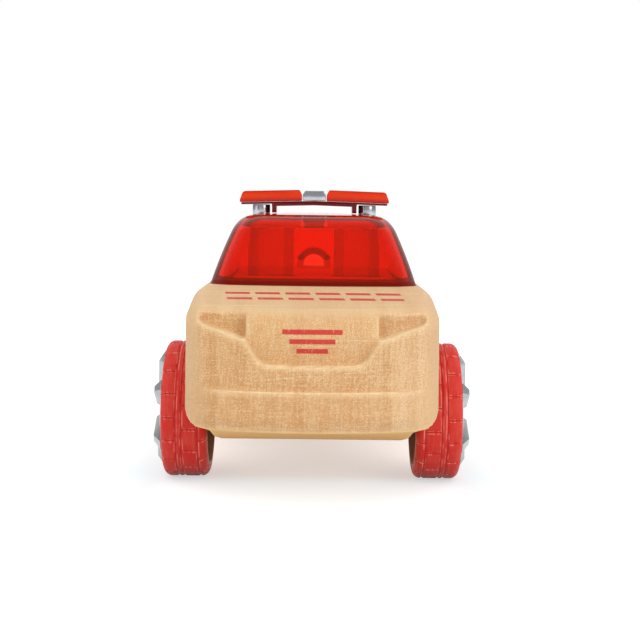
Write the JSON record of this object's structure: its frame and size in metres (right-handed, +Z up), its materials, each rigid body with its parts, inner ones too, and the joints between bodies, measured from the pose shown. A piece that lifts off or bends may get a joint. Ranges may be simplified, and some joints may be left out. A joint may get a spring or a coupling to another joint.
{
  "type": "toy rescue car",
  "caption": "Small wooden toy rescue car with a lift-off clear red cabin, a roof light bar and free-running spoked wheels with treaded red tyres.",
  "frame": {"origin": "middle of the car on the ground under its wheels", "axes": "+Z up, +Y towards the tail, the nose points to -Y, +X is the car's left-hand side"},
  "size_m": [0.0616, 0.116, 0.0578],
  "materials": {
    "beech": "sanded and oiled",
    "clear_red": "clear, tinted",
    "red_plastic": "gloss",
    "lens": "gloss",
    "plated": "bright metal plating on plastic",
    "nylon": "as moulded",
    "steel": "ground",
    "soft_red": "satin"
  },
  "bodies": {
    "body": {"body_block": "beech", "bush_front_left": "nylon", "bush_front_right": "nylon", "bush_rear_left": "nylon", "bush_rear_right": "nylon"},
    "cabin": {"cabin_shell": "clear_red", "light_bar_bracket": "red_plastic", "light_bar_centre": "plated", "light_bar_lens_left": "lens", "light_bar_lens_right": "lens", "light_bar_post_left": "plated", "light_bar_post_right": "plated"},
    "wheel_front_left": {"tyre_front_left": "soft_red", "rim_front_left": "plated", "axle_front_left": "steel"},
    "wheel_front_right": {"tyre_front_right": "soft_red", "rim_front_right": "plated", "axle_front_right": "steel"},
    "wheel_rear_left": {"tyre_rear_left": "soft_red", "rim_rear_left": "plated", "axle_rear_left": "steel"},
    "wheel_rear_right": {"tyre_rear_right": "soft_red", "rim_rear_right": "plated", "axle_rear_right": "steel"}
  },
  "joints": [
    {"name": "wheel_front_left_spin", "type": "hinge", "parent": "body", "child": "wheel_front_left", "pos_m": [0.02025, -0.027, 0.0134], "axis": [1, 0, 0], "continuous": true},
    {"name": "wheel_front_right_spin", "type": "hinge", "parent": "body", "child": "wheel_front_right", "pos_m": [-0.02025, -0.027, 0.0134], "axis": [1, 0, 0], "continuous": true},
    {"name": "wheel_rear_left_spin", "type": "hinge", "parent": "body", "child": "wheel_rear_left", "pos_m": [0.02025, 0.034, 0.0134], "axis": [1, 0, 0], "continuous": true},
    {"name": "wheel_rear_right_spin", "type": "hinge", "parent": "body", "child": "wheel_rear_right", "pos_m": [-0.02025, 0.034, 0.0134], "axis": [1, 0, 0], "continuous": true},
    {"name": "cabin_lift", "type": "slide", "parent": "body", "child": "cabin", "axis": [0, 0, 1], "range_m": [0, 0.03]}
  ]
}
